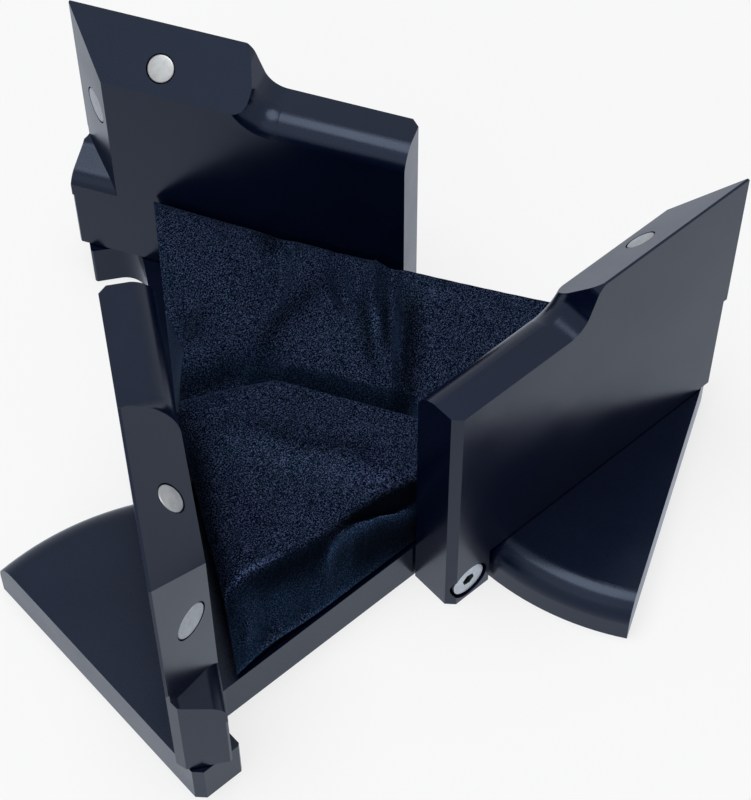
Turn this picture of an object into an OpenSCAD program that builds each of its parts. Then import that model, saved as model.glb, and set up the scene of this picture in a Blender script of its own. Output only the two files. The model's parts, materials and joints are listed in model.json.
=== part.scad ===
// Folding cube box for one ring, standing open on a table.
// Three base plates lie flat and three wall plates stand on them. Six pivots join
// them in a closed ring, so the six plates fold together into one cube.
// +Z is up, the front side faces -Y. The origin is at the middle of the open
// box's footprint, on the table.

/* [Cube] */
// Outer side of the closed cube
cube_side = 50; // [46:1:60]
// Thickness of all six plates
plate_t = 7; // [6:0.5:8]
// Running gap between plates at a pivot
run_gap = 0.3; // [0.2:0.05:0.5]

/* [Base plates] */
// Gap between a base plate's arc and the neighbour's hinge lug
arc_gap = 0.4; // [0.2:0.1:1]
// Depth of the hinge lug behind its wall plate
lug_w = 9; // [7:0.5:14]
// Length of the hinge lug along the strip
lug_len = 12; // [8:1:18]
// Radial room round the thread at the pivot whose lug is open at its end
open_room = 0.5; // [0.3:0.05:0.8]
// Step back of the lug's face at that pivot
open_relief = 0.25; // [0.2:0.05:0.5]
// Radius of the hollow between corner block and strip
block_fillet = 3.5; // [2:0.1:3.7]

/* [Wall plates] */
// Distance from the apex at which the mitred edge ends
mitre_len = 24.2; // [20:0.2:30]
// Relief on each mitre face
mitre_relief = 0.15; // [0.05:0.05:0.4]
// Slope of the step behind the mitre
step_angle = 70; // [50:1:80]
// Radius at the top of the step
step_top_r = 3; // [0.5:0.1:3.4]
// Radius at the foot of the step
step_foot_r = 3.5; // [2:0.1:4.5]
// Gap between two plates that meet at a step
step_gap = 0.3; // [0.1:0.05:0.6]
// Radius of the rounded inner edge of the lowered rim
rim_round = 3.5; // [1:0.1:3.5]
// Chamfer on the upright outer edges
edge_chamfer = 1.1; // [0.3:0.1:1.5]
// Bevel that breaks the inner edges
edge_break = 0.3; // [0.1:0.1:0.6]
// Flat along the sharp mitred edges
tip_flat = 0.35; // [0.1:0.05:0.8]

/* [Magnets] */
// Diameter of the closing magnet in a top edge
magnet_d = 4; // [3:0.5:5]
// Diameter of the closing magnet in an end edge
magnet_end_d = 5.2; // [4:0.2:5.6]
// Thickness of a closing magnet
magnet_t = 2; // [1:0.25:3]
// Distance of the magnets from the apex
magnet_from_apex = 15; // [9:0.5:18]
// Distance of the magnets from the outer face, across the mitre
magnet_depth = 4.4; // [3.6:0.1:4.8]
// Radial play of a magnet in its pocket
magnet_play = 0.05; // [0.02:0.01:0.1]

/* [Pivot screws] */
// Diameter of the screw head
head_d = 5.2; // [4.4:0.1:5.4]
// Height of the screw head
head_h = 1.5; // [1:0.1:2]
// Depth of the head's face below the plate's face
head_inset = 0.3; // [0.1:0.1:0.8]
// Radial room round the head
head_room = 0.45; // [0.2:0.05:0.6]
// Width across flats of the hexagon socket
socket_af = 1.8; // [1.3:0.1:2.5]
// Depth of the hexagon socket
socket_h = 1.1; // [0.6:0.1:1.3]
// Diameter of the smooth shoulder that the plate turns on
shoulder_d = 3; // [2.6:0.1:3.4]
// Radial play of the plate on the shoulder
shoulder_play = 0.08; // [0.03:0.01:0.15]
// Diameter of the threaded end
thread_d = 2.5; // [2:0.1:2.6]
// Length of the threaded end
thread_len = 5; // [3:0.5:6]
// Axial play under the head
head_play = 0.05; // [0.02:0.01:0.1]

/* [Washers] */
// Outer diameter of a friction washer
washer_d = 6; // [5:0.1:6.4]
// Play of a washer in the running gap
washer_play = 0.02; // [0.01:0.01:0.05]

/* [Cushions] */
// Height of the cushions at the ring slot
cushion_h = 18; // [14:0.5:20]
// Rise of the cushion towards the back plate
cushion_rise = 3.5; // [0:0.5:6]
// Height of the cushions' lower hem on the open sides
hem_h = 9; // [8:0.5:12]
// Gap between a cushion and the plates round it
cushion_gap = 0.5; // [0.3:0.1:1]
// Gap between neighbouring cushions
seam_gap = 0.3; // [0.2:0.1:0.8]
// How far the top edge draws in on an open side
draw_in = 5; // [2:0.5:7]
// Depth of the ring slot
slot_depth = 7; // [3:0.5:9]
// Half width of the ring slot's mouth
slot_half_w = 1.6; // [1:0.1:3]
// Length of the ring slot
slot_len = 30; // [20:1:36]
// Height of the folds on the top
fold_h = 0.5; // [0:0.1:1]

/* [Hidden] */
$fn = 72;
tiny = 0.01;
rim_bite = 0.04;

half_t = plate_t / 2;
link = cube_side - plate_t;            // distance between two pivots of one plate
in_r = link / sqrt(3);                 // from the middle of the open box to each side
apex_x = link + half_t;                // end of a wall plate, from its side's middle
strip_y = half_t + run_gap;            // side face of a base plate's strip
floor_z = plate_t + run_gap;           // underside of a wall plate
fan_r = link - half_t - arc_gap;       // arc of a base plate
rim_drop = plate_t + run_gap;          // drop of the lowered rim below the cube's face
rim_z = cube_side - rim_drop;

// Where the step ends, measured from the apex
step_end = mitre_len + step_top_r * sin(step_angle) + step_foot_r * sin(step_angle)
    + (rim_drop - (step_top_r + step_foot_r) * (1 - cos(step_angle))) / tan(step_angle);

// Footprint of the open box: corners, chamfers and arc of one base plate, turned
// three times
arc_end = acos(-half_t / fan_r);
foot_pts = concat(
    [[-link - half_t, -half_t + edge_chamfer], [-link - half_t + edge_chamfer, -half_t],
     [-link + half_t, -half_t], [-half_t + edge_chamfer, -half_t],
     [apex_x - edge_chamfer, -half_t], [apex_x, -half_t + edge_chamfer],
     [apex_x, half_t - edge_break], [apex_x - mitre_relief - tip_flat, -half_t]],
    [for (a = [0 : 0.5 : arc_end]) [-link + fan_r * cos(a), fan_r * sin(a)]],
    [[-link - half_t, fan_r * sin(arc_end)]]);
foot_all = [for (k = [0 : 2], p = foot_pts)
    [p[0] * cos(120 * k) - (p[1] - in_r) * sin(120 * k),
     p[0] * sin(120 * k) + (p[1] - in_r) * cos(120 * k)]];
foot_cx = (max([for (p = foot_all) p[0]]) + min([for (p = foot_all) p[0]])) / 2;
foot_cy = (max([for (p = foot_all) p[1]]) + min([for (p = foot_all) p[1]])) / 2;

// A side's own frame: X along the side from its base plate to its wall plate,
// Y inwards, Z up, origin under the pivot in the middle of the side
module side(k) {
    translate([-foot_cx, -foot_cy, 0]) rotate([0, 0, 120 * k])
        translate([0, -in_r, 0]) children();
}

// The step's profile: x runs from the apex, y into the plate. It covers what the
// lowered rim leaves free
module step_profile() {
    p1 = [mitre_len + step_top_r * sin(step_angle), step_top_r * (1 - cos(step_angle))];
    p2 = [step_end - step_foot_r * sin(step_angle),
          rim_drop - step_foot_r * (1 - cos(step_angle))];
    difference() {
        union() {
            polygon([[mitre_len, -2], [cube_side + 2, -2], [cube_side + 2, rim_drop],
                     [step_end, rim_drop], p2, p1, [mitre_len, 0]]);
            translate([step_end, rim_drop - step_foot_r]) circle(step_foot_r);
        }
        translate([mitre_len, step_top_r]) circle(step_top_r);
    }
}

// Rounds the rim's inner edge, drawn with x down from the rim's face and y inwards.
// The arc meets both faces at a slight angle
module rim_round_profile() {
    difference() {
        translate([-0.5, half_t - rim_round]) square([rim_round + 0.5, rim_round + 1]);
        translate([rim_round - rim_bite, half_t - rim_round + rim_bite]) circle(rim_round);
    }
}

// Cuts the rim's round along the lowered rim, round the foot of the step and up it.
// The middle cut is set a little deeper, so that the three cross each other
module rim_round_cut() {
    foot_x = apex_x - step_end;
    foot_z = rim_z + step_foot_r;
    slope_len = (rim_drop - (step_top_r + step_foot_r) * (1 - cos(step_angle)))
        / sin(step_angle);
    translate([-half_t - 1, 0, rim_z]) rotate([0, 90, 0])
        linear_extrude(foot_x + half_t + 1) rim_round_profile();
    translate([foot_x + rim_bite, 0, foot_z - rim_bite]) rotate([-90, 0, 0])
        rotate([0, 0, 90 - step_angle - 12]) rotate_extrude(angle = step_angle + 24)
            translate([step_foot_r, 0]) rim_round_profile();
    translate([foot_x, 0, foot_z]) rotate([0, 90 - step_angle, 0])
        translate([step_foot_r, 0, 0]) linear_extrude(slope_len + step_top_r)
            rim_round_profile();
}

// Wall plate in its side's frame
module wall_plate() {
    difference() {
        translate([0, half_t, 0]) rotate([90, 0, 0]) linear_extrude(plate_t)
            polygon([[-half_t, 0], [half_t, 0], [half_t, floor_z], [apex_x, floor_z],
                     [apex_x, cube_side], [-half_t, cube_side]]);
        // lowered rim and its step
        translate([apex_x, half_t + 1, cube_side]) rotate([0, 180, 0]) rotate([90, 0, 0])
            linear_extrude(plate_t + 2) step_profile();
        rim_round_cut();
        // mitre along the top edge
        translate([-half_t - 1, 0, cube_side]) rotate([90, 0, 90])
            linear_extrude(cube_side + 2)
                polygon([[-half_t - 1, 1 - mitre_relief], [-half_t - 1, 2],
                         [half_t + 1, 2], [half_t + 1, -mitre_relief - plate_t - 1]]);
        // mitre along the upright end edge, ending in the matching step
        difference() {
            linear_extrude(cube_side + 1)
                polygon([[apex_x - mitre_relief + 1, -half_t - 1], [apex_x + 1, -half_t - 1],
                         [apex_x + 1, half_t + 1],
                         [apex_x - mitre_relief - plate_t - 1, half_t + 1]]);
            translate([0, -half_t, cube_side - step_gap]) rotate([0, 90, 0])
                linear_extrude(cube_side) step_profile();
        }
        // flats that blunt the two sharp mitred edges
        translate([-half_t - 1, -half_t - 1, cube_side - mitre_relief - tip_flat])
            cube([cube_side + 2, plate_t, 2]);
        translate([apex_x - mitre_relief - tip_flat, -half_t - 1,
                   cube_side - step_gap - mitre_len])
            cube([2, plate_t, cube_side]);
        // chamfers on the upright outer edges
        for (x = [-half_t, apex_x]) translate([x, -half_t, -1]) rotate([0, 0, 45])
            translate([-edge_chamfer / sqrt(2), -edge_chamfer / sqrt(2), 0])
                cube([edge_chamfer * sqrt(2), edge_chamfer * sqrt(2), x < 0 ? cube_side + 2
                    : cube_side - step_gap - mitre_len + 1]);
        // broken inner edge at the end
        translate([apex_x, half_t, -1]) rotate([0, 0, 45])
            translate([-edge_break / sqrt(2), -edge_break / sqrt(2), 0])
                cube([edge_break * sqrt(2), edge_break * sqrt(2), cube_side - step_end]);
        // pivot bore with its head recess, and the threaded hole in the lower end
        translate([0, -half_t, half_t]) rotate([-90, 0, 0]) pivot_bore();
        translate([link, 0, floor_z - tiny]) cylinder(h = thread_len + 0.5, d = thread_d);
        for (end = [0, 1]) on_mitre(end) translate([0, 0, -magnet_t - magnet_play])
            cylinder(h = magnet_t + magnet_play + 1, d = magnet_size(end) + 2 * magnet_play);
    }
}

// Bore and head recess of a pivot, from the plate's outer face along +Z
module pivot_bore() {
    translate([0, 0, -1]) {
        cylinder(h = 1 + head_inset + head_h + head_play, d = head_d + 2 * head_room);
        cylinder(h = plate_t + 2, d = shoulder_d + 2 * shoulder_play);
    }
}

// Places a magnet's face on the mitre of the top edge (0) or of the end edge (1)
module on_mitre(end) {
    if (end == 0)
        translate([apex_x - magnet_from_apex, magnet_depth - half_t,
                   cube_side - magnet_depth - mitre_relief]) rotate([-45, 0, 0]) children();
    else
        translate([apex_x - magnet_depth - mitre_relief, magnet_depth - half_t,
                   cube_side - magnet_from_apex]) rotate([-90, 0, 0]) rotate([0, 45, 0])
            children();
}

function magnet_size(end) = end == 0 ? magnet_d : magnet_end_d;

// Base plate in its side's frame. An open lug ends at the pivot's axis, in a half
// round groove that the screw's thread can leave
module base_plate(open_lug = false) {
    difference() {
        union() {
            // quarter disc round the corner pivot, its upper rim rounded
            intersection() {
                translate([-link, 0, 0]) rotate_extrude($fn = 128) {
                    square([fan_r, half_t]);
                    square([fan_r - half_t, plate_t]);
                    translate([fan_r - half_t, half_t]) intersection() {
                        circle(half_t);
                        square(half_t + 1);
                    }
                }
                translate([-link - half_t, strip_y, 0]) cube([cube_side, cube_side, plate_t]);
            }
            // corner block with a hollow towards the strip
            linear_extrude(plate_t) difference() {
                polygon([[-link - half_t, -half_t + edge_chamfer],
                         [-link - half_t + edge_chamfer, -half_t],
                         [-link + half_t - edge_break, -half_t],
                         [-link + half_t, -half_t + edge_break],
                         [-link + half_t, strip_y - block_fillet],
                         [-link + half_t + block_fillet, strip_y],
                         [-link + half_t + block_fillet, strip_y + 1],
                         [-link - half_t, strip_y + 1]]);
                translate([-link + half_t + block_fillet, strip_y - block_fillet])
                    circle(block_fillet);
            }
            // hinge lug
            translate([-lug_len, strip_y + (open_lug ? open_relief : 0), 0])
                cube([lug_len, lug_w - (open_lug ? open_relief : 0), plate_t]);
            if (!open_lug) translate([0, strip_y, half_t]) rotate([-90, 0, 0])
                cylinder(h = lug_w, r = half_t);
        }
        translate([-link, 0, 0]) pivot_bore();
        translate([0, strip_y - tiny, half_t]) rotate([-90, 0, 0])
            cylinder(h = open_lug ? lug_w + 1 : thread_len + 0.5,
                     d = open_lug ? thread_d + 2 * open_room : thread_d);
    }
}

// Shoulder screw along +Z, its plate's outer face at z = 0
module pivot_screw() {
    seat = plate_t + run_gap;
    difference() {
        union() {
            translate([0, 0, head_inset]) cylinder(h = head_h, d = head_d);
            translate([0, 0, head_inset + head_h - tiny])
                cylinder(h = seat - head_inset - head_h + tiny, d = shoulder_d);
            translate([0, 0, seat - tiny]) cylinder(h = thread_len + tiny, d = thread_d);
        }
        translate([0, 0, head_inset - 1]) rotate([0, 0, 15])
            cylinder(h = socket_h + 1, d = socket_af / cos(30), $fn = 6);
    }
}

// Washer along +Z, its lower face at z = 0
module washer() {
    difference() {
        cylinder(h = run_gap - washer_play, d = washer_d);
        translate([0, 0, -1]) cylinder(h = run_gap + 2, d = shoulder_d + 2 * shoulder_play);
    }
}

module magnet(end) {
    on_mitre(end) translate([0, 0, -magnet_t]) cylinder(h = magnet_t, d = magnet_size(end));
}

// Smooth step from 0 to 1
function ease(v) = let (c = min(1, max(0, v))) c * c * (3 - 2 * c);

// The cushions' top over the open box, x and y from its middle
function slot_q(x, y) = x * cos(30) + y * sin(30);
function slot_p(x, y) = y * cos(30) - x * sin(30);
// Distance inwards from the plane of side k, and position along it
function side_in(x, y, k) = in_r - half_t - x * sin(120 * k) + y * cos(120 * k);
function side_u(x, y, k) = x * cos(120 * k) + y * sin(120 * k);
// How far the open half of side k pulls the top down
function open_fall(x, y, k) = let (
        d = side_in(x, y, k) - cushion_gap,
        u = side_u(x, y, k),
        reach = max(0.8, draw_in * (0.35 + 0.65 * sin(max(0, min(180, -4.2 * u)))))
    ) u > 0 ? 0 : (1 - ease(d / reach)) * ease(-u / 5);
function cushion_top(x, y) = let (
        q = slot_q(x, y), p = slot_p(x, y),
        base = cushion_h + cushion_rise * ease(q / 20) + 0.8 * ease(-q / 12),
        fall = max([for (k = [0 : 2]) open_fall(x, y, k)]),
        slot = slot_depth * exp(-pow(q / slot_half_w, 2)) * (1 - ease((abs(p) - slot_len / 2 + 4) / 4)),
        folds = fold_h * (sin(23 * p + 4 * q) * ease(q / 6) + sin(9 * q - 15 * p) * ease(-q / 8))
    ) base - slot + folds * (1 - fall) - fall * (base - hem_h);

// One cushion over base plate k: its plan is a kite from the middle of the box to
// the corner pivot
cushion_n = 22;
module cushion(k) {
    n = cushion_n;
    inset = half_t + cushion_gap;
    corner = -(in_r * 2 - inset * 2);
    kite = [[-seam_gap * sin(30) - seam_gap * cos(30) * 0, -seam_gap / 2],
            [-seam_gap / 2, -in_r + inset],
            [corner * cos(30), corner * sin(30)],
            [0, 0]];
    // the kite is its own mirror image about the line to the corner pivot
    far = [kite[1][0] * cos(60) + kite[1][1] * sin(60), kite[1][0] * sin(60) - kite[1][1] * cos(60)];
    near = [-seam_gap * cos(30), -seam_gap * sin(30)];
    function plan(i, j) = let (a = i / n, b = j / n)
        (1 - a) * (1 - b) * near + a * (1 - b) * kite[1] + a * b * kite[2] + (1 - a) * b * far;
    function turned(p) = [p[0] * cos(120 * k) - p[1] * sin(120 * k),
                          p[0] * sin(120 * k) + p[1] * cos(120 * k)];
    grid = [for (i = [0 : n], j = [0 : n]) turned(plan(i, j))];
    top = [for (p = grid) [p[0], p[1], cushion_top(p[0], p[1])]];
    low = [for (p = grid) [p[0], p[1], plate_t]];
    m = (n + 1) * (n + 1);
    function id(i, j) = i * (n + 1) + j;
    rim = concat([for (i = [0 : n - 1]) id(i, 0)], [for (j = [0 : n - 1]) id(n, j)],
                 [for (i = [0 : n - 1]) id(n - i, n)], [for (j = [0 : n - 1]) id(0, n - j)]);
    rn = len(rim);
    translate([-foot_cx, -foot_cy, 0]) polyhedron(points = concat(top, low), faces = concat(
        [for (i = [0 : n - 1], j = [0 : n - 1]) each [
            [id(i, j), id(i, j + 1), id(i + 1, j + 1)], [id(i, j), id(i + 1, j + 1), id(i + 1, j)]]],
        [for (i = [0 : n - 1], j = [0 : n - 1]) each [
            [m + id(i, j), m + id(i + 1, j + 1), m + id(i, j + 1)],
            [m + id(i, j), m + id(i + 1, j), m + id(i + 1, j + 1)]]],
        [for (r = [0 : rn - 1]) each [
            [rim[r], m + rim[(r + 1) % rn], m + rim[r]],
            [rim[r], rim[(r + 1) % rn], m + rim[(r + 1) % rn]]]]));
}

module front_base() { color([0.09, 0.1, 0.14]) side(0) base_plate(); }
module right_base() { color([0.09, 0.1, 0.14]) side(1) base_plate(open_lug = true); }
module rear_base() { color([0.09, 0.1, 0.14]) side(2) base_plate(); }
module right_wall() { color([0.12, 0.13, 0.17]) side(0) wall_plate(); }
module back_wall() { color([0.12, 0.13, 0.17]) side(1) wall_plate(); }
module left_wall() { color([0.12, 0.13, 0.17]) side(2) wall_plate(); }
module wall_magnet(k, end) { color([0.78, 0.78, 0.77]) side(k) magnet(end); }
// Screws through the wall plates, into the lugs of the base plates
module wall_screw(k) {
    color([0.8, 0.8, 0.79]) side(k) translate([0, -half_t, half_t]) rotate([-90, 0, 0])
        pivot_screw();
}
// Screws through the base plates' corner blocks, into the wall plates
module base_screw(k) { color([0.8, 0.8, 0.79]) side(k) translate([-link, 0, 0]) pivot_screw(); }
module wall_washer(k) {
    color([0.9, 0.9, 0.86]) side(k) translate([0, strip_y, half_t]) rotate([90, 0, 0]) washer();
}
module base_washer(k) {
    color([0.9, 0.9, 0.86]) side(k) translate([-link, 0, floor_z]) mirror([0, 0, 1]) washer();
}
module front_cushion() { color([0.05, 0.09, 0.14]) cushion(0); }
module right_cushion() { color([0.05, 0.09, 0.14]) cushion(1); }
module rear_cushion() { color([0.05, 0.09, 0.14]) cushion(2); }

front_base();
right_base();
rear_base();
right_wall();
back_wall();
left_wall();
wall_magnet(0, 0);  // right_wall_top_magnet
wall_magnet(0, 1);  // right_wall_end_magnet
wall_magnet(1, 0);  // back_wall_top_magnet
wall_magnet(1, 1);  // back_wall_end_magnet
wall_magnet(2, 0);  // left_wall_top_magnet
wall_magnet(2, 1);  // left_wall_end_magnet
base_screw(0);  // front_base_pivot_screw
base_screw(1);  // right_base_pivot_screw
base_screw(2);  // rear_base_pivot_screw
wall_screw(0);  // right_wall_pivot_screw
wall_screw(1);  // back_wall_pivot_screw
wall_screw(2);  // left_wall_pivot_screw
base_washer(0);  // front_base_pivot_washer
base_washer(1);  // right_base_pivot_washer
base_washer(2);  // rear_base_pivot_washer
wall_washer(0);  // right_wall_pivot_washer
wall_washer(1);  // back_wall_pivot_washer
wall_washer(2);  // left_wall_pivot_washer
front_cushion();
right_cushion();
rear_cushion();
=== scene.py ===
"""Looks of a ring display box: six hinged anodised plates round a velvet insert.

The plates, screws and washers are the frame's own solids with new materials. The magnets and the
three cushions of the insert are made here and stand in for the frame's simpler ones.
"""

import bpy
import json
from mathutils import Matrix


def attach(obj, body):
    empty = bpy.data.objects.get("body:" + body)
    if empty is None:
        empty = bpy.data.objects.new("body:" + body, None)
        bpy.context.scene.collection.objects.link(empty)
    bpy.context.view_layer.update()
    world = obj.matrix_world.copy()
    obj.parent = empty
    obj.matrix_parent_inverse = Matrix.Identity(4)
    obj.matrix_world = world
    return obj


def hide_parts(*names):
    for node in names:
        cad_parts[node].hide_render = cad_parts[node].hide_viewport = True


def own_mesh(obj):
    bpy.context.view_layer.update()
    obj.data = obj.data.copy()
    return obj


bl_info = {
    "name": "Ring Display Box",
    "version": (1, 0, 0),
    "blender": (4, 5, 0),
    "location": "View3D > Sidebar > Ring Box",
    "description": "Finishes, fastenings and velvet insert of a folding ring display box",
    "category": "Add Mesh",
}

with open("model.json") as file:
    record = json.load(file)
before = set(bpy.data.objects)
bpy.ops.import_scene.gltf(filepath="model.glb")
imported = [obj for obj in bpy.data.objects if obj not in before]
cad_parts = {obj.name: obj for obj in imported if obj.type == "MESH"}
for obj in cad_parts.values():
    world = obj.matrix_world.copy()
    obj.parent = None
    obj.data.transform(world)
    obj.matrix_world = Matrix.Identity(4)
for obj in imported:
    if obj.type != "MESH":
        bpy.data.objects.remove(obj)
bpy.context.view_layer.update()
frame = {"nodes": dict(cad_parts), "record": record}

import json
import math

import bmesh
import bpy
from bpy.props import FloatProperty, FloatVectorProperty, IntProperty, PointerProperty
from mathutils import Matrix, Vector

MM = 0.001
COS_30, SIN_30 = math.cos(math.radians(30)), math.sin(math.radians(30))
COS_60, SIN_60 = math.cos(math.radians(60)), math.sin(math.radians(60))
PLATES = (
    "front_base", "right_base", "rear_base",
    "right_wall", "back_wall", "left_wall",
)
# The cushions in the order of their sides, each with the base plate that carries it.
CUSHIONS = (
    ("front_cushion", "front_base"),
    ("right_cushion", "right_base"),
    ("rear_cushion", "rear_base"),
)
# Middle of the triangle of plates on the table, in mm.
CENTRE = Vector((0.15, -3.3358, 0.0))
# From the middle of the triangle to the middle plane of a wall plate, and half a plate, in mm.
WALL_RUN = 24.826
HALF_PLATE = 3.5
# From the middle of the triangle to a corner of the insert, in mm.
CORNER_RUN = 41.65
# Room between a plate's inner face and the cloth, in mm.
WALL_ROOM = 0.5
# How near to an end plane a point counts as lying in it, in m: in the frame's meshes, and in
# a disc that was made here.
END_PLANE_ROOM, DISC_PLANE_ROOM = 2e-5, 1e-6
# Places of a colour Mix node's two colours and of its result among its sockets.
MIX_FIRST, MIX_SECOND, MIX_RESULT = 6, 7, 2


# ---------------------------------------------------------------- helpers

def deselect_all():
    if bpy.context.object and bpy.context.object.mode != "OBJECT":
        bpy.ops.object.mode_set(mode="OBJECT")
    bpy.ops.object.select_all(action="DESELECT")


def node_body(node):
    for body, members in frame["record"]["behaviour"]["bodies"].items():
        if node in members:
            return body
    raise RuntimeError("no body holds " + node)


def nodes_ending(ending):
    found = sorted(n for n in frame["nodes"] if n.endswith(ending))
    if not found:
        raise RuntimeError("the frame has no node ending in " + ending)
    return found


def smooth_step(v):
    """0 below 0, 1 above 1, and eased between them."""
    c = min(1.0, max(0.0, v))
    return c * c * (3.0 - 2.0 * c)


def disc_middle(points, axis):
    """Place of the axis line: middle of the box of the points, in the plane across the axis."""
    side = axis.orthogonal().normalized()
    other = axis.cross(side)
    a = [p.dot(side) for p in points]
    b = [p.dot(other) for p in points]
    return side * (0.5 * (min(a) + max(a))) + other * (0.5 * (min(b) + max(b)))


def axis_frame(node):
    """Middle, axis pointing to the wider end, and half length of a turned node, from its mesh."""
    mesh = frame["nodes"][node].data
    # The two flat ends have the largest area of all faces that look along one line.
    areas = {}
    for poly in mesh.polygons:
        n = poly.normal
        n = n if (n.x, n.y, n.z) > (-n.x, -n.y, -n.z) else -n
        key = tuple(round(c, 2) for c in n)
        areas[key] = areas.get(key, 0.0) + poly.area
    axis = Vector(max(areas, key=areas.get)).normalized()
    points = [v.co for v in mesh.vertices]
    low = min(p.dot(axis) for p in points)
    high = max(p.dot(axis) for p in points)
    middle = sum(points, Vector()) / len(points)
    flat = middle - axis * middle.dot(axis)
    reach = []
    for level in (low, high):
        end = [p for p in points if abs(p.dot(axis) - level) < END_PLANE_ROOM]
        reach.append(max((p - axis * p.dot(axis) - flat).length for p in end))
    if reach[0] > reach[1]:
        axis, low, high = -axis, -high, -low
    return disc_middle(points, axis) + axis * (0.5 * (low + high)), axis, 0.5 * (high - low)


def copy_along(pattern, name, middle, axis):
    """A copy of a pattern modelled at the origin along +Z, moved to its place in its own mesh."""
    piece = pattern.copy()
    piece.data = pattern.data.copy()
    piece.name = name
    piece.data.name = name
    bpy.context.scene.collection.objects.link(piece)
    turn = axis.to_track_quat("Z", "Y").to_matrix().to_4x4()
    piece.data.transform(Matrix.Translation(middle) @ turn)
    piece.data.update()
    return piece


# ---------------------------------------------------------------- materials

class Graph:
    """A small hand for wiring a material's nodes."""

    def __init__(self, name):
        self.material = bpy.data.materials.new(name)
        self.material.use_nodes = True
        self.tree = self.material.node_tree
        self.tree.nodes.clear()
        self.count = 0

    def add(self, kind, **values):
        node = self.tree.nodes.new(kind)
        node.location = (-1200 + 180 * (self.count % 8), 300 - 260 * (self.count // 8))
        self.count += 1
        for key, value in values.items():
            setattr(node, key, value)
        return node

    def join(self, output, socket):
        self.tree.links.new(output, socket)

    def coordinates(self, scale=(1, 1, 1), rotation=(0, 0, 0)):
        place = self.add("ShaderNodeTexCoord")
        mapping = self.add("ShaderNodeMapping")
        mapping.inputs["Scale"].default_value = scale
        mapping.inputs["Rotation"].default_value = rotation
        self.join(place.outputs["Object"], mapping.inputs["Vector"])
        return mapping.outputs["Vector"]

    def noise(self, vector, scale, detail=2.0, roughness=0.5):
        node = self.add("ShaderNodeTexNoise")
        node.inputs["Scale"].default_value = scale
        node.inputs["Detail"].default_value = detail
        node.inputs["Roughness"].default_value = roughness
        self.join(vector, node.inputs["Vector"])
        return node.outputs["Fac"]

    def span(self, value, low, high, start=0.3, end=0.7):
        """A value between start and end, stretched to lie between low and high."""
        node = self.add("ShaderNodeMapRange")
        node.inputs["From Min"].default_value = start
        node.inputs["From Max"].default_value = end
        node.inputs["To Min"].default_value = low
        node.inputs["To Max"].default_value = high
        self.join(value, node.inputs["Value"])
        return node.outputs["Result"]

    def share(self, value, start=0.3, end=0.7):
        """A value between start and end, stretched to lie between 0 and 1."""
        return self.span(value, 0.0, 1.0, start, end)

    def blend(self, factor, first, second):
        """Two colours, or sockets of colours, mixed by a factor."""
        node = self.add("ShaderNodeMix", data_type="RGBA")
        self.join(factor, node.inputs["Factor"])
        for value, place in ((first, MIX_FIRST), (second, MIX_SECOND)):
            if isinstance(value, bpy.types.NodeSocket):
                self.join(value, node.inputs[place])
            else:
                node.inputs[place].default_value = (*value, 1.0)
        return node.outputs[MIX_RESULT]

    def bump(self, height, strength, distance, onto=None):
        node = self.add("ShaderNodeBump")
        node.inputs["Strength"].default_value = strength
        node.inputs["Distance"].default_value = distance
        self.join(height, node.inputs["Height"])
        if onto is not None:
            self.join(onto, node.inputs["Normal"])
        return node.outputs["Normal"]

    def surface(self):
        shader = self.add("ShaderNodeBsdfPrincipled")
        output = self.add("ShaderNodeOutputMaterial")
        self.join(shader.outputs["BSDF"], output.inputs["Surface"])
        return shader


def shade(colour, factor):
    return tuple(min(1.0, c * factor) for c in colour)


def anodised_finish(finish):
    """Bead-blasted, black-anodised aluminium: fine even grain, slow drifts in tone and gloss."""
    g = Graph("anodised_plate")
    plain = g.coordinates()
    grain = g.noise(plain, scale=4200.0, detail=3.0, roughness=0.65)
    clouds = g.noise(plain, scale=42.0, detail=3.0)
    gloss = g.noise(plain, scale=110.0, detail=4.0)
    shader = g.surface()
    colour = finish.anodised
    tone = g.blend(g.share(clouds), shade(colour, 0.75), shade(colour, 1.3))
    flecks = g.blend(g.share(grain, 0.35, 0.68), tone, shade(colour, 2.1))
    g.join(flecks, shader.inputs["Base Color"])
    g.join(g.span(gloss, finish.satin - 0.03, finish.satin + 0.05), shader.inputs["Roughness"])
    g.join(g.bump(grain, strength=0.22, distance=0.02 * MM), shader.inputs["Normal"])
    shader.inputs["Metallic"].default_value = 0.0
    shader.inputs["IOR"].default_value = 1.39
    shader.inputs["Specular IOR Level"].default_value = 0.5
    shader.inputs["Specular Tint"].default_value = (0.62, 0.76, 1.0, 1.0)
    return g.material


def bare_metal_finish(name, colour, satin, recess=0.0):
    """Plated or turned metal: fine streaks, faint marks of handling, and painted shade, near black,
    in a recess that deep.
    """
    g = Graph(name)
    plain = g.coordinates()
    streaks = g.noise(plain, scale=3000.0, detail=2.0)
    marks = g.noise(plain, scale=900.0, detail=4.0, roughness=0.65)
    shader = g.surface()
    tone = g.blend(g.share(marks), shade(colour, 0.86), shade(colour, 1.1))
    if recess > 0.0:
        # Painted shade: near black where the metal's own hollows, such as a screw's socket, lie in
        # shade.
        painted_hollow_shade = g.add("ShaderNodeAmbientOcclusion", samples=8, only_local=True)
        painted_hollow_shade.inputs["Distance"].default_value = recess
        tone = g.blend(g.share(painted_hollow_shade.outputs["AO"], 0.45, 0.85), shade(colour, 0.03), tone)
    g.join(tone, shader.inputs["Base Color"])
    g.join(g.span(streaks, satin - 0.06, satin + 0.08), shader.inputs["Roughness"])
    g.join(g.bump(streaks, strength=0.18, distance=0.01 * MM), shader.inputs["Normal"])
    shader.inputs["Metallic"].default_value = 1.0
    return g.material


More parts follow.
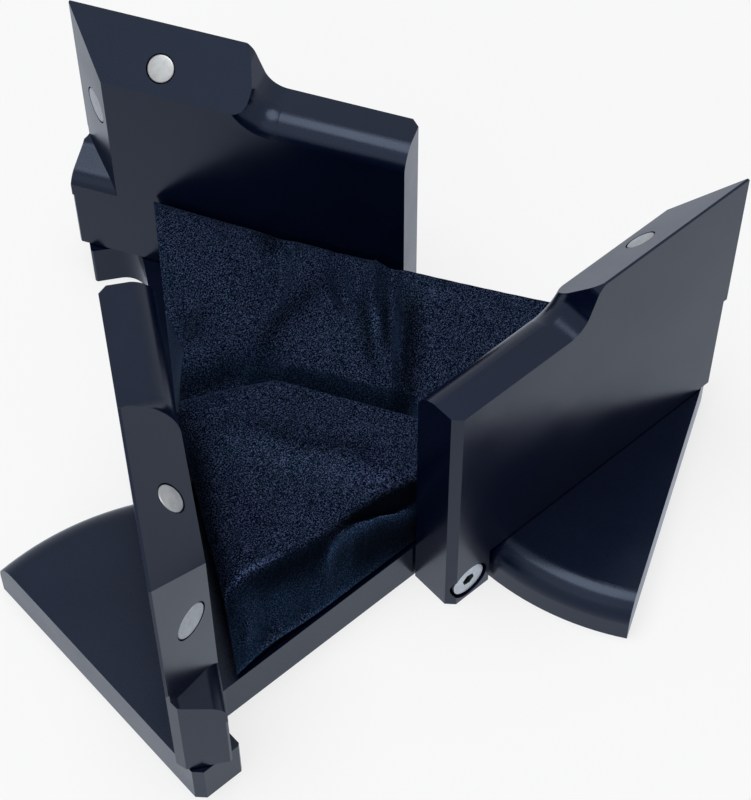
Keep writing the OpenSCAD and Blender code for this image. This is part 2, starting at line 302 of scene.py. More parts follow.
def washer_finish():
    """Dark slippery plastic of the washers, faintly mottled."""
    g = Graph("pivot_washer_nylon")
    mottle = g.noise(g.coordinates(), scale=700.0, detail=3.0)
    shader = g.surface()
    tone = g.blend(g.share(mottle), (0.035, 0.036, 0.04), (0.06, 0.062, 0.068))
    g.join(tone, shader.inputs["Base Color"])
    g.join(g.span(mottle, 0.42, 0.55), shader.inputs["Roughness"])
    g.join(g.bump(mottle, strength=0.15, distance=0.02 * MM), shader.inputs["Normal"])
    return g.material


def velvet_finish(finish):
    """Short-pile suede cloth: speckled pile over a fine diagonal rib, slow teal drifts."""
    g = Graph("insert_suede")
    plain = g.coordinates()
    slanted = g.coordinates(scale=(1.0, 0.4, 1.0), rotation=(0.0, 0.0, math.radians(38)))
    speckle = g.noise(plain, scale=5400.0, detail=3.0, roughness=0.75)
    rib = g.noise(slanted, scale=5000.0, detail=2.0, roughness=0.6)
    drift = g.noise(plain, scale=130.0, detail=3.0, roughness=0.6)
    shader = g.surface()
    # Lying cloth shows its rib; the hanging edges, whose normals look sideways, are smoother.
    place = g.add("ShaderNodeTexCoord")
    split = g.add("ShaderNodeSeparateXYZ")
    g.join(place.outputs["Normal"], split.inputs["Vector"])
    lying = g.share(split.outputs["Z"], 0.45, 0.85)
    ground = g.blend(g.share(drift, 0.38, 0.64), finish.cloth, finish.cloth_drift)
    pile = g.blend(g.share(rib, 0.36, 0.64), shade(finish.cloth, 0.1), ground)
    hanging = g.blend(g.share(rib), finish.cloth, shade(finish.cloth_drift, 1.5))
    tips = g.blend(lying, shade(finish.cloth_tips, 0.6), finish.cloth_tips)
    colour = g.blend(g.share(speckle, 0.5, 0.63), g.blend(lying, hanging, pile), tips)
    # Painted light and shade, carried by the mesh, make the cloth lighter or darker.
    painted_light = g.add("ShaderNodeAttribute", attribute_name="painted_light").outputs["Fac"]
    lit = g.add("ShaderNodeMix", data_type="RGBA", blend_type="MULTIPLY")
    lit.inputs["Factor"].default_value = 1.0
    g.join(colour, lit.inputs[MIX_FIRST])
    g.join(painted_light, lit.inputs[MIX_SECOND])
    g.join(lit.outputs[MIX_RESULT], shader.inputs["Base Color"])
    g.join(g.span(speckle, 0.72, 0.95), shader.inputs["Roughness"])
    ribbed = g.bump(rib, strength=0.4, distance=0.1 * MM)
    g.join(g.bump(speckle, 0.45, 0.12 * MM, onto=ribbed), shader.inputs["Normal"])
    shader.inputs["Specular IOR Level"].default_value = 0.02
    shader.inputs["Specular Tint"].default_value = (0.4, 0.65, 1.0, 1.0)
    shader.inputs["Sheen Weight"].default_value = finish.cloth_sheen
    shader.inputs["Sheen Roughness"].default_value = 0.32
    shader.inputs["Sheen Tint"].default_value = (0.3, 0.56, 1.0, 1.0)
    return g.material


def give(obj, material):
    obj.data.materials.clear()
    obj.data.materials.append(material)


# ---------------------------------------------------------------- the velvet insert

def side_in(x, y, k):
    """How far a point lies inside the inner face of side k, in mm."""
    a = math.radians(120 * k)
    return WALL_RUN - HALF_PLATE - x * math.sin(a) + y * math.cos(a)


def side_along(x, y, k):
    """Where a point lies along side k: below 0 on its open half, above 0 along its wall, in mm."""
    a = math.radians(120 * k)
    return x * math.cos(a) + y * math.sin(a)


def bent_line_distance(x, y, points):
    """Distance to a bent line of points (below 0 on its right), and how far along it the
    nearest place is, from 0 to 1."""
    best, where, hand = math.inf, 0.0, 1.0
    spans = len(points) - 1
    for i in range(spans):
        (ax, ay), (bx, by) = points[i], points[i + 1]
        dx, dy = bx - ax, by - ay
        t = ((x - ax) * dx + (y - ay) * dy) / (dx * dx + dy * dy)
        t = min(1.0, max(0.0, t))
        d = math.hypot(x - ax - t * dx, y - ay - t * dy)
        if d < best:
            best, where = d, (i + t) / spans
            hand = 1.0 if dx * (y - ay) - dy * (x - ax) > 0.0 else -1.0
    return best * hand, where


def between(v, table):
    """Value of a table of (place, value) pairs at place v, in a straight line from pair to pair."""
    if v <= table[0][0]:
        return table[0][1]
    for (a, first), (b, second) in zip(table, table[1:]):
        if v <= b:
            return first + (second - first) * (v - a) / (b - a)
    return table[-1][1]


# Soft folds of the cloth, seen from above, in mm from the middle of the triangle: points, rise
# (below 0 for a valley), width on the left and on the right of the line, and whether each end
# fades out.
CLOTH_FOLDS = (
    (((-4.4, 9.2), (-7.6, 10.8), (-11.3, 12.3), (-16.0, 13.9)), -4.2, 1.8, 2.7, False, False),
    (((17.6, 10.2), (14.2, 7.4), (11.2, 4.0)), 1.5, 0.8, 1.3, False, True),
    (((17.2, 3.6), (10.1, -3.1), (5.6, -8.2)), 1.5, 0.8, 0.9, True, True),
    (((18.4, 7.6), (13.0, 2.2), (7.6, -3.4)), -1.8, 1.0, 1.3, False, True),
    (((11.6, 15.6), (8.6, 10.2), (7.2, 6.8)), 1.0, 1.0, 1.6, True, True),
    (((10.6, 22.6), (7.8, 18.8), (3.2, 15.6), (-2.2, 13.6)), -1.8, 1.5, 2.2, False, True),
    (((14.4, 15.2), (11.4, 10.2), (9.0, 5.4)), -1.4, 1.0, 1.2, False, True),
    (((-1.0, 30.0), (-5.0, 22.5), (-8.4, 16.4)), -1.1, 2.4, 2.4, True, True),
    (((4.6, 31.4), (1.6, 24.0), (-1.2, 18.6)), 0.7, 2.0, 2.6, True, True),
    (((-19.0, -2.0), (-12.0, 0.5), (-4.0, -4.5), (-1.5, -9.0)), 0.7, 2.2, 2.6, True, True),
    (((-21.0, -9.0), (-13.0, -9.5), (-6.0, -12.5)), -0.7, 2.4, 2.0, True, True),
)
# How far the cloth draws in from each cushion's corner, along and across its open side, in mm.
CORNER_DRAWN = ((2.2, 0.0), (1.0, 0.6), (1.33, 2.3))
# How far in from the wall face the front edge starts to fall, along the side, in mm.
FRONT_EDGE_REACH = (
    (-36.0, 2.6), (-32.5, 3.8), (-26.0, 4.7), (-21.0, 4.0), (-15.5, 3.1), (-10.5, 2.7),
    (-5.6, 2.5), (-2.0, 1.6), (0.0, 1.3),
)
# Folds of the hanging front edge: along the side and in from the wall face, in mm.
FRONT_EDGE_FOLDS = (
    ((
        (0.5, 0.9), (-2.9, 1.3), (-7.7, 2.1), (-13.4, 2.7), (-15.7, 2.5), (-17.5, 1.9),
        (-18.4, 0.9),
    ), 3.0, 0.5, 0.7, False, False),
    ((
        (0.5, 1.5), (-3.0, 1.95), (-7.7, 2.75), (-12.5, 3.4), (-16.5, 3.4),
    ), -2.6, 0.6, 0.6, False, True),
    (((-33.6, 0.5), (-31.3, 1.1), (-30.3, 1.7), (-28.6, 2.9)), 3.0, 0.7, 0.9, False, True),
    (((-28.4, 0.5), (-27.0, 2.4), (-25.6, 3.8)), -2.6, 1.0, 1.6, False, True),
    (((-22.6, 0.5), (-21.4, 2.2)), -2.6, 1.1, 1.5, False, True),
    (((-10.5, 0.5), (-11.5, 1.6)), -1.6, 1.6, 1.2, False, True),
)
# Painted light and shade, seen from above: painted highlights on ridges and painted shade in
# valleys and along the walls. The same rows as the folds, with how much lighter (above 0) or
# darker (below 0) the cloth looks there, in steps of twice the light.
CLOTH_PAINTED_LIGHT = (
    ((
        (-4.6, 11.0), (-1.0, 11.9), (3.7, 13.0), (9.4, 12.6), (14.0, 13.6),
    ), -1.2, 1.8, 1.4, True, True),
    (((-16.0, 14.6), (-9.3, 12.8), (-4.3, 11.7)), -0.9, 1.6, 1.4, False, True),
    (((13.4, 9.4), (10.7, 5.0), (7.4, -0.1), (6.3, -3.1)), -1.3, 0.8, 0.9, True, True),
    (((12.9, 5.7), (10.6, 2.7), (8.2, -0.9)), 0.9, 0.6, 0.6, True, True),
    (((15.4, 6.4), (12.9, 3.2), (9.1, -1.5)), -1.3, 0.6, 0.6, True, True),
    (((16.3, 5.7), (13.8, 2.0), (9.8, -2.9), (8.5, -4.8)), 0.9, 0.6, 0.6, True, True),
    (((18.9, 5.2), (15.3, 0.3), (11.7, -3.7), (7.9, -7.2)), -1.5, 1.2, 2.2, True, False),
    (((20.5, 2.6), (18.6, -2.0)), 0.4, 1.4, 1.4, True, True),
    (((9.6, 24.5), (9.0, 21.1)), -1.2, 1.4, 1.4, False, True),
    (((-10.5, 17.4), (-6.4, 20.7), (-2.8, 23.2)), -0.7, 1.8, 1.8, True, True),
    (((-17.0, 5.6), (-12.7, -2.2), (-8.4, -9.8), (-5.3, -15.3)), 0.5, 2.2, 2.2, True, False),
    (((-14.1, 6.6), (-9.8, -3.0), (-3.9, -10.4), (-1.2, -17.2)), -0.8, 1.8, 1.4, True, True),
    (((-16.0, 11.3), (-22.0, 0.9), (-27.0, -7.8), (-32.0, -16.4)), -2.0, 1.6, 1.5, True, False),
)
# The same painted light and shade on the hanging front edge, with painted highlights on the seam
# edge, its ridges and the hem, and painted shadow under the seam edge: along the side and in from
# the wall face.
FRONT_EDGE_PAINTED_LIGHT = (
    ((
        (-33.8, 3.0), (-31.2, 5.0), (-29.9, 5.5), (-26.7, 6.0), (-24.5, 5.5), (-22.0, 5.0),
        (-16.4, 4.3),
    ), 1.7, 0.4, 0.35, False, True),
    ((
        (-31.0, 4.2), (-28.0, 4.8), (-24.4, 4.3), (-18.8, 3.5), (-15.0, 3.2), (-10.4, 3.4),
        (-6.7, 3.0), (-2.1, 1.9),
    ), -2.4, 0.7, 1.0, True, False),
    (((-15.0, 3.3), (-10.4, 3.5), (-6.7, 3.2), (-1.0, 2.2)), -1.2, 0.9, 0.7, True, False),
    ((
        (-17.6, 1.4), (-17.1, 1.9), (-16.2, 2.3), (-14.1, 2.55), (-11.2, 2.4), (-7.6, 2.1),
        (-2.6, 1.3), (0.0, 1.0),
    ), 2.4, 0.26, 0.26, True, False),
    ((
        (-14.6, 1.3), (-12.0, 1.7), (-8.0, 1.4), (-4.1, 0.9), (0.0, 0.6),
    ), -2.4, 0.45, 0.7, True, False),
    (((-31.8, 3.3), (-27.9, 3.2), (-24.1, 2.8), (-19.0, 2.4)), 0.4, 0.8, 0.9, True, True),
    (((-31.6, 0.7), (-30.9, 1.3), (-29.8, 1.8), (-27.7, 2.8)), 0.8, 0.4, 0.4, True, True),
    (((-34.0, 0.5), (-20.0, 0.5), (-8.0, 0.5)), 1.3, 0.28, 0.28, False, True),
)
# Steps of the tuck under a cushion's edge: share of the way down, how far in in mm, and the
# painted shadow under the hem there, as how light the cloth is left.
EDGE_TUCK = (
    (0.05, 0.22, 0.12), (0.35, 0.6, 0.1), (0.6, 0.9, 0.1), (0.85, 1.1, 0.1), (1.0, 1.3, 0.1),
)
# The share of that tuck at the seams: below 0, so that the cushions press together there.
SEAM_TUCK = -0.06
# The dip of the cloth along a seam: its depth and width, and the length of a seam, in mm.
SEAM_DIP, SEAM_DIP_WIDTH, SEAM_RUN = 0.05, 0.3, 24.0
# How tightly the rows of faces lie at the start and the end of a seam, and over which share of it.
ALONG_TIGHT, ACROSS_TIGHT = (1.0, 3.0), (1.0, 0.6)
TIGHT_START, TIGHT_END = 0.05, 0.16
# The shares of a fold's length over which its ends fade out, and where its sides count as level,
# in widths.
FADE_START, FADE_END, FOLD_LEVEL = 0.35, 0.45, 3.0
# The darkest painted shade and the lightest painted light, and the ground of the front edge's
# rows: how far along the side and in from the wall face, in mm.
PAINTED_DARKEST, PAINTED_LIGHTEST = 0.08, 3.6
FRONT_PAINTED_END, FRONT_PAINTED_REACH = 1.0, 9.0

# The crown, in mm. Behind the slot the cloth rises over CROWN_RUN, and dips along the back wall:
# curve, place, depth, and the run over which the dip comes in.
CROWN_RUN = 20.0
DIP_CURVE, DIP_PLACE, DIP_DEPTH, DIP_RUN = 0.0012, 8.0, 0.5, 16.0
# In front of the slot it climbs to the left corner (slope, start, run) and swells (height, run).
CLIMB_SLOPE, CLIMB_START, CLIMB_RUN = 0.045, 8.0, 8.0
SWELL, SWELL_RUN = 0.6, 9.0
# The slot, in mm: its front lip (place, run), the share of its width that is full depth, its ends
# (how far in, run), and the share of a fold that it takes away.
LIP_PLACE, LIP_RUN = 0.7, 0.9
FULL_DEPTH = 0.25
SLOT_END, SLOT_END_RUN = 2.0, 3.5
FOLD_LOSS = 0.9
# The sink of the cloth behind the slot, in mm: depth, place, run in, width, run beyond the ends.
SINK, SINK_PLACE, SINK_RUN, SINK_WIDTH, SINK_END_RUN = 1.2, 1.0, 1.5, 4.5, 5.0
# Folds are held down along the wall of side 1: share that stays, where it starts and its run.
HELD_SHARE, HELD_START, HELD_RUN = 0.22, 0.4, 3.0
# The open halves of the sides, in mm: where they end along the side, the run and the start of
# the ease there, the reach of the rounding between top and hanging edge, and its softness.
OPEN_END, OPEN_RUN, OPEN_EASE, ROUNDING_REACH, SOFTNESS = 0.5, 2.0, 0.2, 5.0, 0.42
# The least height of a hanging edge, in mm.
LEAST_FALL = 1.0
# The front hem's lift (height, place along the side, width), and its bead (height, width).
HEM_LIFT, HEM_LIFT_PLACE, HEM_LIFT_WIDTH = 1.1, 28.0, 4.5
BEAD, BEAD_WIDTH = 0.45, 0.28
# The front edge's folds start above the hem: place and run, in mm.
EDGE_FOLD_START, EDGE_FOLD_RUN = 0.15, 1.3
# How far in from the face the other open sides start to fall: on the right one, and on the rear
# one with a swell (height, place along the side, width), in mm.
RIGHT_REACH, REAR_REACH = 0.5, 0.6
REAR_SWELL, REAR_SWELL_PLACE, REAR_SWELL_WIDTH = 1.9, 11.0, 5.0
# The sink of the cloth at the left wall (depth, width, place and run towards the back) and at
# the other walls (depth, width, reach), in mm.
LEFT_SINK, LEFT_SINK_WIDTH, LEFT_SINK_PLACE, LEFT_SINK_RUN = 1.9, 1.5, 2.0, 6.0
WALL_SINK, WALL_SINK_WIDTH, WALL_SINK_REACH = 0.45, 0.45, 1.5
# The least thickness of a cushion, in mm.
LEAST_THICKNESS = 0.5


def fold_rise(x, y, folds):
    """Sum of what a table of folds says at a place."""
    total = 0.0
    for points, rise, left, right, fade_start, fade_end in folds:
        d, t = bent_line_distance(x, y, points)
        width = left if d > 0.0 else right
        if abs(d) > FOLD_LEVEL * width:
            continue
        strength = 1.0
        if fade_start:
            strength *= smooth_step(t / FADE_START)
        if fade_end:
            strength *= smooth_step((1.0 - t) / FADE_END)
        total += rise * strength * math.exp(-(d / width) ** 2)
    return total


def painted_light_at(x, y):
    """How much lighter or darker painted light and shade make the cloth at a place, as a share of
    the cloth's own colour.
    """
    total = fold_rise(x, y, CLOTH_PAINTED_LIGHT)
    u, d = side_along(x, y, 0), side_in(x, y, 0)
    if u < FRONT_PAINTED_END and d < FRONT_PAINTED_REACH:
        total += fold_rise(u, d, FRONT_EDGE_PAINTED_LIGHT)
    return min(PAINTED_LIGHTEST, max(PAINTED_DARKEST, 2.0 ** total))


def edge_reach(u, k):
    """How far in from the face the cloth starts to fall on the open half of side k, in mm."""
    if k == 0:
        return between(u, FRONT_EDGE_REACH)
    if k == 1:
        return RIGHT_REACH
    swell = math.exp(-(((u + REAR_SWELL_PLACE) / REAR_SWELL_WIDTH) ** 2))
    return REAR_REACH + REAR_SWELL * swell


def lying_height(x, y, insert):
    """Height in mm of the lying cloth, without its edges: the crown, the folds and the slot."""
    behind = x * COS_30 + y * SIN_30
    beside = abs(y * COS_30 - x * SIN_30)
    top = insert.height / MM + insert.rise / MM * smooth_step(behind / CROWN_RUN)
    dip = DIP_CURVE * (side_along(x, y, 1) - DIP_PLACE) ** 2 - DIP_DEPTH
    top += dip * smooth_step(behind / DIP_RUN)
    climb = CLIMB_SLOPE * max(0.0, -x - CLIMB_START) * smooth_step(-behind / CLIMB_RUN)
    top += climb + SWELL * smooth_step(-behind / SWELL_RUN)
    half = insert.slot_length / MM / 2.0
    mouth = insert.slot_width / MM
    groove = smooth_step((behind + LIP_PLACE) / LIP_RUN)
    groove *= 1.0 - smooth_step((behind - FULL_DEPTH * mouth) / ((1.0 - FULL_DEPTH) * mouth))
    groove *= 1.0 - smooth_step((beside - half + SLOT_END) / SLOT_END_RUN)
    held = smooth_step((side_in(x, y, 1) - HELD_START) / HELD_RUN)
    held = HELD_SHARE + (1.0 - HELD_SHARE) * held
    top += fold_rise(x, y, CLOTH_FOLDS) * held * (1.0 - FOLD_LOSS * groove)
    top -= insert.slot_depth / MM * groove
    sink = SINK * smooth_step((behind + SINK_PLACE) / SINK_RUN)
    sink *= math.exp(-((behind / SINK_WIDTH) ** 2))
    return top - sink * (1.0 - smooth_step((beside - half) / SINK_END_RUN))


def hanging_height(u, d, k, top, insert):
    """Height in mm of the hanging edge, at a place along side k and in from the cloth's edge."""
    hem = insert.hem / MM
    if k == 0:
        hem += HEM_LIFT * math.exp(-(((u + HEM_LIFT_PLACE) / HEM_LIFT_WIDTH) ** 2))
    line = hem + max(LEAST_FALL, top - hem) / edge_reach(u, k) * d
    if k == 0:
        folds = fold_rise(u, d + WALL_ROOM, FRONT_EDGE_FOLDS)
        line += folds * smooth_step((d - EDGE_FOLD_START) / EDGE_FOLD_RUN)
        line += BEAD * math.exp(-((d / BEAD_WIDTH) ** 2))
    return line


def soft_lower(first, second):
    """The lower of two heights, with a rounded change from one to the other."""
    low = min(first, second)
    above = sum(math.exp(-(value - low) / SOFTNESS) for value in (first, second))
    return low - SOFTNESS * math.log(above)


def insert_height(x, y, insert):
    """Height of the cloth over the table, at a place from the middle of the triangle, in mm."""
    top = lying_height(x, y, insert)
    for k in range(3):
        d = side_in(x, y, k) - WALL_ROOM
        u = side_along(x, y, k)
        if u < OPEN_END:
            line = hanging_height(u, d, k, top, insert)
            if line < top + ROUNDING_REACH:
                share = smooth_step(-u / OPEN_RUN + OPEN_EASE)
                top = top * (1.0 - share) + soft_lower(top, line) * share
        elif k == 2:
            behind = x * COS_30 + y * SIN_30
            share = smooth_step(1.0 - (behind - LEFT_SINK_PLACE) / LEFT_SINK_RUN)
            top -= LEFT_SINK * math.exp(-max(0.0, d) / LEFT_SINK_WIDTH) * share
        elif d < WALL_SINK_REACH:
            top -= WALL_SINK * math.exp(-max(0.0, d) / WALL_SINK_WIDTH)
    return max(top, insert.foot / MM + LEAST_THICKNESS)


def tight_steps(count, start, end):
    """Steps from 0 to 1 that lie closer at the ends, as strongly as start and end say."""
    raw = []
    for i in range(count + 1):
        t = i / count
        tight = start * math.exp(-t / TIGHT_START) + end * math.exp(-(1.0 - t) / TIGHT_END)
        raw.append(1.0 / (1.0 + tight))
    total, steps = 0.0, [0.0]
    for i in range(count):
        total += 0.5 * (raw[i] + raw[i + 1])
        steps.append(total)
    return [s / total for s in steps]


def kite_corners(k, insert):
    """Corners of a cushion's kite in mm, before it is turned to its side: the middle of the box,
    the end of the seam on its open side, the corner of the box, and the end of the other seam."""
    gap = insert.seam / MM / 2.0
    reach = -WALL_RUN + HALF_PLATE + WALL_ROOM
    drawn_x, drawn_y = CORNER_DRAWN[k]
    return (
        (-gap * COS_30 * 2.0, -gap * SIN_30 * 2.0),
        (-gap, reach),
        (-CORNER_RUN * COS_30 + drawn_x, -CORNER_RUN * SIN_30 + drawn_y),
        (-gap * COS_60 + reach * SIN_60, -gap * SIN_60 - reach * COS_60),
    )


def kite_place(corners, a, b):
    """Place in a kite at shares a and b of the way along its two seams."""
    shares = ((1 - a) * (1 - b), a * (1 - b), a * b, (1 - a) * b)
    x = sum(share * corner[0] for share, corner in zip(shares, corners))
    y = sum(share * corner[1] for share, corner in zip(shares, corners))
    return x, y


def make_cushion(name, k, insert):
    """One cushion of the insert: a kite from the middle of the box to a corner, with its crown,
    hanging edge and tucked hem."""
    corners = kite_corners(k, insert)
    turn = math.radians(120 * k)
    n = insert.rows
    along = tight_steps(n, *ALONG_TIGHT)
    across = tight_steps(n, *ACROSS_TIGHT)
    mesh = bmesh.new()
    # Each vertex carries its painted light and shade, as a share of the cloth's colour.
    painted_light = mesh.verts.layers.float.new("painted_light")

    def add_vert(x, y, z, light):
        vert = mesh.verts.new(((x + CENTRE.x) * MM, (y + CENTRE.y) * MM, z * MM))
        vert[painted_light] = light
        return vert

    # The top: plan holds each place in mm, grid its vertex.
    plan, grid = [], []
    for a in along:
        plan.append([])
        grid.append([])
        for b in across:
            kx, ky = kite_place(corners, a, b)
            x = kx * math.cos(turn) - ky * math.sin(turn)
            y = kx * math.sin(turn) + ky * math.cos(turn)
            seam = min(a, b) * SEAM_RUN
            z = insert_height(x, y, insert)
            z -= SEAM_DIP * math.exp(-((seam / SEAM_DIP_WIDTH) ** 2))
            plan[-1].append((x, y, z))
            grid[-1].append(add_vert(x, y, z, painted_light_at(x, y)))
    for i in range(n):
        for j in range(n):
            mesh.faces.new((grid[i][j], grid[i][j + 1], grid[i + 1][j + 1], grid[i + 1][j]))

    # The sides, down to the foot, and the underside.
    ring = [(0, j) for j in range(n)] + [(i, n) for i in range(n)]
    ring += [(n, j) for j in range(n, 0, -1)] + [(i, 0) for i in range(n, 0, -1)]
    mid_x = sum(plan[i][j][0] for i, j in ring) / len(ring)
    mid_y = sum(plan[i][j][1] for i, j in ring) / len(ring)
    foot = insert.foot / MM
    last = [grid[i][j] for i, j in ring]
    after = [*range(1, len(ring)), 0]
    # The tucked sides under the hem are painted dark, as painted shadow.
    for down, tuck, light in EDGE_TUCK:
        loop = []
        for i, j in ring:
            x, y, z = plan[i][j]
            on_seam = min(i, j) == 0
            inward = tuck / math.hypot(mid_x - x, mid_y - y) * (SEAM_TUCK if on_seam else 1.0)
            level = foot + (z - foot) * (1.0 - down)
            loop.append(add_vert(x + (mid_x - x) * inward, y + (mid_y - y) * inward, level, light))
        for i, j in enumerate(after):
            mesh.faces.new((last[i], last[j], loop[j], loop[i]))
        last = loop
    # The middle of the underside is painted black, as painted shade.
    under = add_vert(mid_x, mid_y, foot, 0.0)
    for i, j in enumerate(after):
        mesh.faces.new((last[i], last[j], under))

    # Smooth all over, but for the edges of the top along the seams.
    bmesh.ops.recalc_face_normals(mesh, faces=mesh.faces)
    for face in mesh.faces:
        face.smooth = True
    for i in range(n):
        for pair in ((grid[i][0], grid[i + 1][0]), (grid[0][i], grid[0][i + 1])):
            mesh.edges.get(pair).smooth = False
    data = bpy.data.meshes.new(name)
    mesh.to_mesh(data)
    mesh.free()
    cushion = bpy.data.objects.new(name, data)
    bpy.context.scene.collection.objects.link(cushion)
    return cushion


# ---------------------------------------------------------------- table, light and camera

TABLE_WIDTH = 3.0
# How much of the table's plain white is seen, over its own shaded surface.
TABLE_GLOW = 0.72
# Round lamps that look at LAMP_AIM: name, place, width in m, power in W.
LAMPS = (
    ("overhead_panel", (-0.1, 0.0, 0.78), 0.6, 4.1),
    ("window_panel", (-0.6, -0.2, 0.5), 0.6, 0.5),
)
LAMP_AIM = Vector((0.0, 0.0, 0.02))


def seen_rays(tree):
    """Socket that is 1 for what the camera sees, straight, in a gloss or through a clear piece,
    and the socket for what it sees in a gloss."""
    path = tree.nodes.new("ShaderNodeLightPath")
    seen = path.outputs["Is Camera Ray"]
    for kind in ("Is Glossy Ray", "Is Transmission Ray"):
        either = tree.nodes.new("ShaderNodeMath")
        either.operation = "MAXIMUM"
        tree.links.new(seen, either.inputs[0])
        tree.links.new(path.outputs[kind], either.inputs[1])
        seen = either.outputs[0]
    return seen, path.outputs["Is Glossy Ray"]


def mix_shaders(tree, share, first, second, surface):
    """Wire two shaders, mixed by a share, to a surface."""
    mix = tree.nodes.new("ShaderNodeMixShader")
    tree.links.new(share, mix.inputs["Fac"])
    tree.links.new(first, mix.inputs[1])
    tree.links.new(second, mix.inputs[2])
    tree.links.new(mix.outputs["Shader"], surface)


def lay_table(stage):
    """A pale table, which the camera and the gloss of the plates see as near white."""
    deselect_all()
    bpy.ops.mesh.primitive_plane_add(size=TABLE_WIDTH, location=(0.0, 0.0, 0.0))
    table = bpy.context.object
    table.name = "table_top"
    g = Graph("pale_table")
    shader = g.surface()
    clouds = g.noise(g.coordinates(), scale=30.0, detail=3.0)
    tone = g.blend(g.share(clouds), shade(stage.table, 0.99), stage.table)
    g.join(tone, shader.inputs["Base Color"])
    shader.inputs["Roughness"].default_value = 0.55
    shader.inputs["Specular IOR Level"].default_value = 0.2
    seen, glossy = seen_rays(g.tree)
    glow = g.add("ShaderNodeEmission")
    glow.inputs["Strength"].default_value = 1.0
    g.join(g.blend(glossy, (1.0, 1.0, 1.0), (0.8, 0.87, 1.0)), glow.inputs["Color"])
    share = g.add("ShaderNodeMath", operation="MULTIPLY")
    share.inputs[1].default_value = TABLE_GLOW
    g.join(seen, share.inputs[0])
    output = next(n for n in g.tree.nodes if n.type == "OUTPUT_MATERIAL")
    mix_shaders(g.tree, share.outputs[0], shader.outputs["BSDF"], glow.outputs["Emission"],
                output.inputs["Surface"])
    give(table, g.material)


def light_room(scene):
    """A soft room, which the camera and the gloss of the plates see as white, and two lamps."""
    world = bpy.data.worlds.new("soft_room")
    world.use_nodes = True
    scene.world = world
    tree = world.node_tree
    tree.nodes.clear()
    room = tree.nodes.new("ShaderNodeBackground")
    room.inputs["Color"].default_value = (0.97, 0.985, 1.0, 1.0)
    room.inputs["Strength"].default_value = 0.26
    white = tree.nodes.new("ShaderNodeBackground")
    white.inputs["Color"].default_value = (1.0, 1.0, 1.0, 1.0)
    white.inputs["Strength"].default_value = 1.0
    output = tree.nodes.new("ShaderNodeOutputWorld")
    mix_shaders(tree, seen_rays(tree)[0], room.outputs["Background"], white.outputs["Background"],
                output.inputs["Surface"])
    for name, place, size, power in LAMPS:
        lamp = bpy.data.lights.new(name, "AREA")
        lamp.shape = "DISK"
        lamp.size = size
        lamp.energy = power
        holder = bpy.data.objects.new(name, lamp)
        holder.location = place
        aim = LAMP_AIM - Vector(place)
        holder.rotation_euler = aim.to_track_quat("-Z", "Y").to_euler()
        scene.collection.objects.link(holder)


def set_camera(scene, stage):
    """The camera, where it shows the open box from the front, the left and above."""
    camera = bpy.data.cameras.new("display_camera")
    camera.lens = stage.lens
    camera.sensor_fit = "VERTICAL"
    camera.sensor_height = 36.0
    camera.clip_start = 0.01
    holder = bpy.data.objects.new("display_camera", camera)
    holder.location = stage.camera_place
    holder.rotation_euler = stage.camera_turn
    scene.collection.objects.link(holder)
    scene.camera = holder
    scene.view_settings.view_transform = "Standard"


# ---------------------------------------------------------------- sizes and colours

class RingBoxFinish(bpy.types.PropertyGroup):
    anodised: FloatVectorProperty(
        name="Anodised plates", description="Colour of the anodised plates",
        subtype="COLOR", size=3, min=0.0, max=1.0, default=(0.0009, 0.0022, 0.0098))
    satin: FloatProperty(
        name="Plate satin", description="How matt the anodised plates are",
        min=0.05, max=1.0, default=0.22)
    magnet: FloatVectorProperty(
        name="Magnets", description="Colour of the plated magnets",
        subtype="COLOR", size=3, min=0.0, max=1.0, default=(0.36, 0.37, 0.38))
    steel: FloatVectorProperty(
        name="Screws", description="Colour of the pivot screws",
        subtype="COLOR", size=3, min=0.0, max=1.0, default=(0.56, 0.58, 0.6))
    cloth: FloatVectorProperty(
        name="Insert cloth", description="Ground colour of the insert's cloth",
        subtype="COLOR", size=3, min=0.0, max=1.0, default=(0.0008, 0.0033, 0.0150))
    cloth_drift: FloatVectorProperty(
        name="Cloth drift",
        description="Second colour of the cloth, where its pile lies the other way",
        subtype="COLOR", size=3, min=0.0, max=1.0, default=(0.0008, 0.0085, 0.0185))
    cloth_tips: FloatVectorProperty(
        name="Pile tips", description="Colour of the tips of the pile",
        subtype="COLOR", size=3, min=0.0, max=1.0, default=(0.063, 0.086, 0.168))
    cloth_sheen: FloatProperty(
        name="Cloth sheen", description="How light the pile is at a low angle",
        min=0.0, max=1.0, default=0.025)


class RingBoxFastenings(bpy.types.PropertyGroup):
    magnet_width: FloatProperty(
        name="Top magnet width", description="Diameter of the disc magnet in a top edge",
        unit="LENGTH", default=3.82 * MM)
    end_magnet_width: FloatProperty(
        name="End magnet width", description="Diameter of the disc magnet in an end edge",
        unit="LENGTH", default=5.02 * MM)
    magnet_edge: FloatProperty(
        name="Magnet edge", description="Rounding of a magnet's edge",
        unit="LENGTH", default=0.22 * MM)


